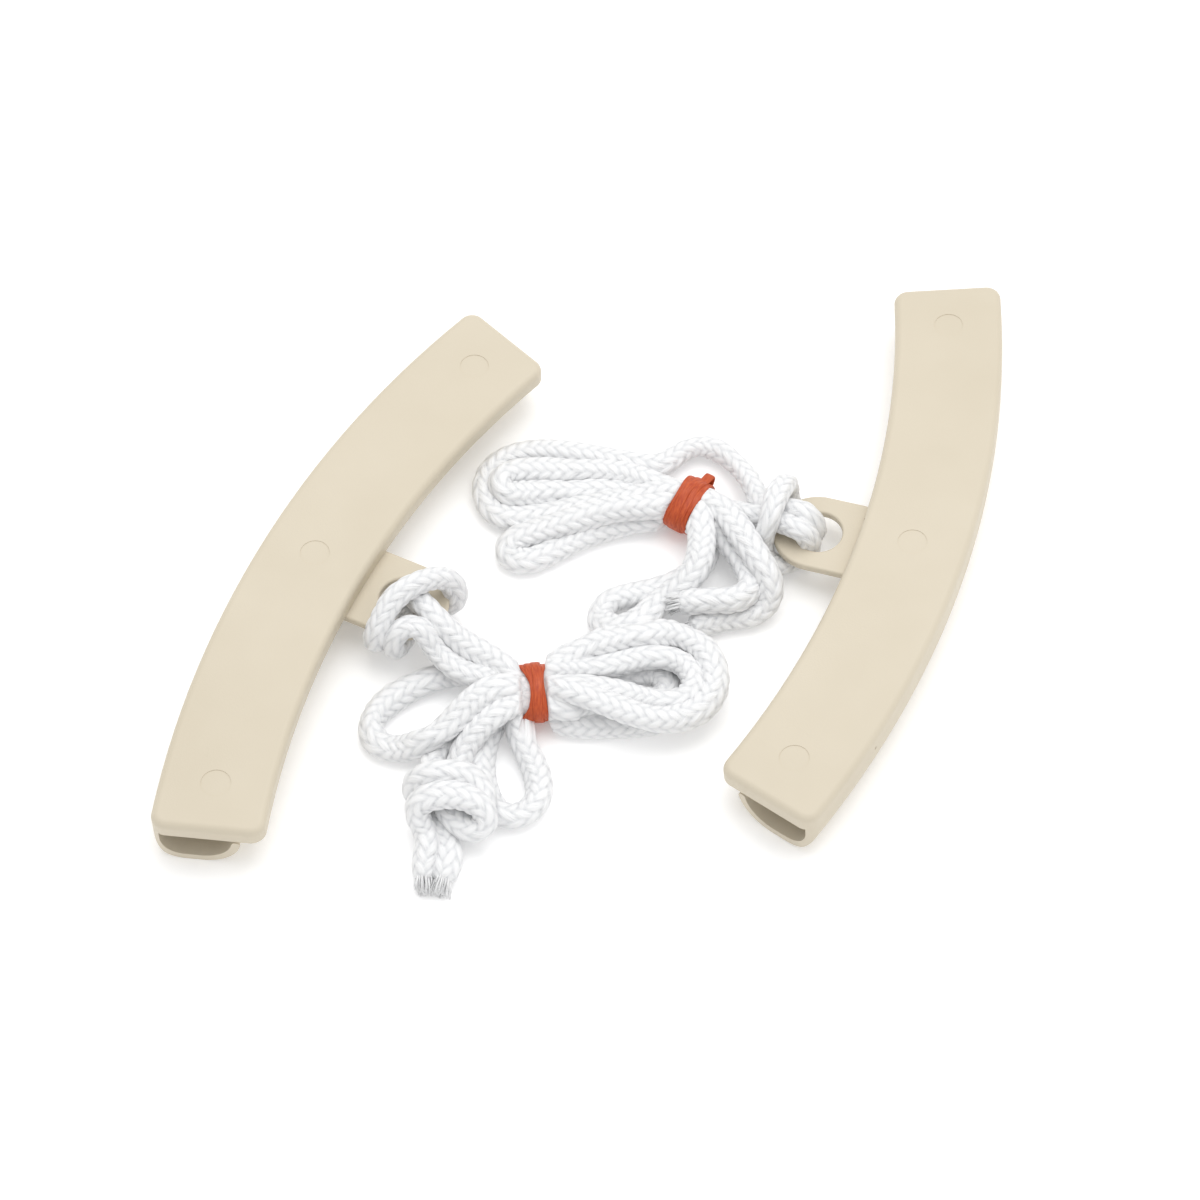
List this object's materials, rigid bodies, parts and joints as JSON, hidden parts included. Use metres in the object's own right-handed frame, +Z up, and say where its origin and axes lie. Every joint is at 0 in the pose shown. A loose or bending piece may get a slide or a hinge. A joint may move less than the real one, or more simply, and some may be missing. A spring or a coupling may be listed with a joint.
{
  "type": "wheel rim protector pair",
  "caption": "Two curved moulded plates with a curled channel and an eyelet tab, each with a limp braided cord bundled by a rubber band.",
  "frame": {"origin": "on the floor plane, under the middle of the two mouldings' common bounding box", "axes": "+Z up out of the floor; +X from the left moulding to the right one; +Y away from the viewer, along the mouldings"},
  "size_m": [0.2296, 0.1854, 0.0233],
  "materials": {
    "nylon": "beige moulded nylon, satin",
    "cord": "white braided cord",
    "rubber_band": "orange-red natural rubber, matt"
  },
  "bodies": {
    "left_protector": {"rim_protector_left": "nylon", "cord_left_hitch": "cord", "cord_left_lead": "cord", "cord_left_hank": "cord", "cord_left_side_loop": "cord", "cord_left_end_loop": "cord", "cord_left_tail_a": "cord", "cord_left_tail_b": "cord", "cord_left_knot": "cord", "cord_left_end_a": "cord", "cord_left_end_b": "cord", "band_left": "rubber_band"},
    "right_protector": {"rim_protector_right": "nylon", "cord_right_hitch": "cord", "cord_right_lead": "cord", "cord_right_hank": "cord", "cord_right_loop": "cord", "cord_right_end_a": "cord", "cord_right_end_b": "cord", "band_right": "rubber_band"}
  },
  "joints": [
    {"name": "right_lift", "type": "slide", "parent": "left_protector", "child": "right_protector", "axis": [0, 0, 1], "range_m": [0, 0.12]}
  ]
}
